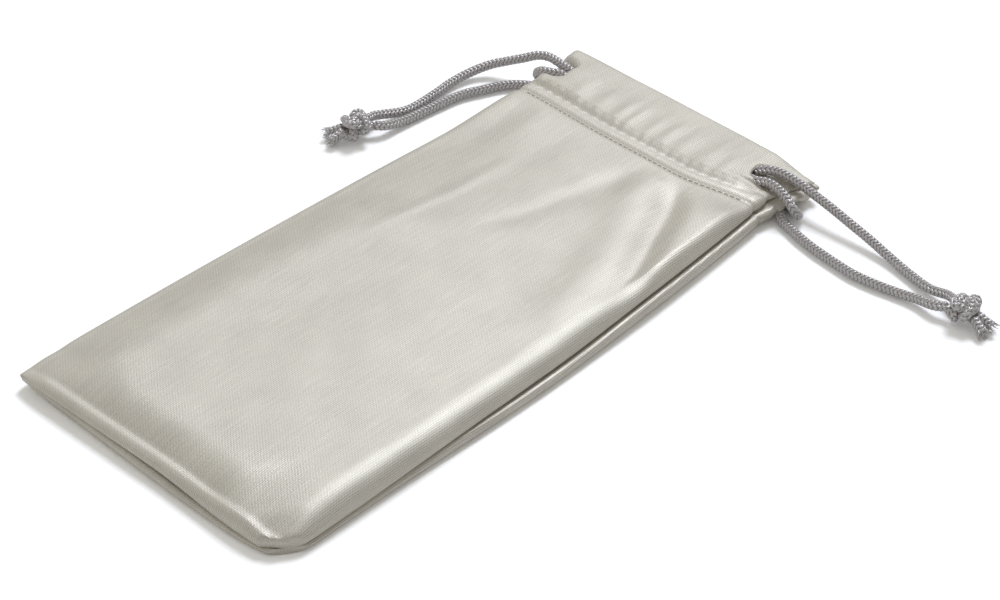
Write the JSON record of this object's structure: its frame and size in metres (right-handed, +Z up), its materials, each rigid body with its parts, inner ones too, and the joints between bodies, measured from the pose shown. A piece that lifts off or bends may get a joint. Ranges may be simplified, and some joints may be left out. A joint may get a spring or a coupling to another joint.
{
  "type": "drawstring eyeglass pouch",
  "caption": "Flat soft cloth pouch for eyeglasses, sewn from panels with a folded hem at the mouth and drawcords run out of slits at both sides, each ending in a knot.",
  "frame": {"origin": "middle of the pouch's underside, on the surface it lies on, with the free cords left out", "axes": "+X to the side seam on the right, +Y from the bottom seam to the mouth, +Z up out of the front panel"},
  "size_m": [0.1694, 0.18, 0.0096],
  "materials": {
    "cloth": "satin microfibre warp knit, silver beige",
    "thread": "polyester sewing thread",
    "cord": "braided soft cord, grey"
  },
  "bodies": {
    "pouch": {"front_panel": "cloth", "back_panel": "cloth", "seam_thread": "thread", "front_hem_upper_thread": "thread", "front_hem_lower_thread": "thread", "back_hem_upper_thread": "thread", "back_hem_lower_thread": "thread"},
    "right_cord": {"right_cord_front_leg": "cord", "right_cord_back_leg": "cord", "right_cord_front_run": "cord", "right_cord_back_run": "cord", "right_cord_bight": "cord", "right_cord_knot": "cord", "right_cord_front_tail": "cord", "right_cord_back_tail": "cord"},
    "left_cord": {"left_cord_front_leg": "cord", "left_cord_back_leg": "cord", "left_cord_front_run": "cord", "left_cord_back_run": "cord", "left_cord_bight": "cord", "left_cord_knot": "cord", "left_cord_front_tail": "cord", "left_cord_back_tail": "cord"}
  },
  "joints": [
    {"name": "right_cord_draw", "type": "slide", "parent": "pouch", "child": "right_cord", "axis": [1, 0, 0], "range_m": [0, 0.0015]},
    {"name": "left_cord_draw", "type": "slide", "parent": "pouch", "child": "left_cord", "axis": [-1, 0, 0], "range_m": [0, 0.0015]}
  ]
}
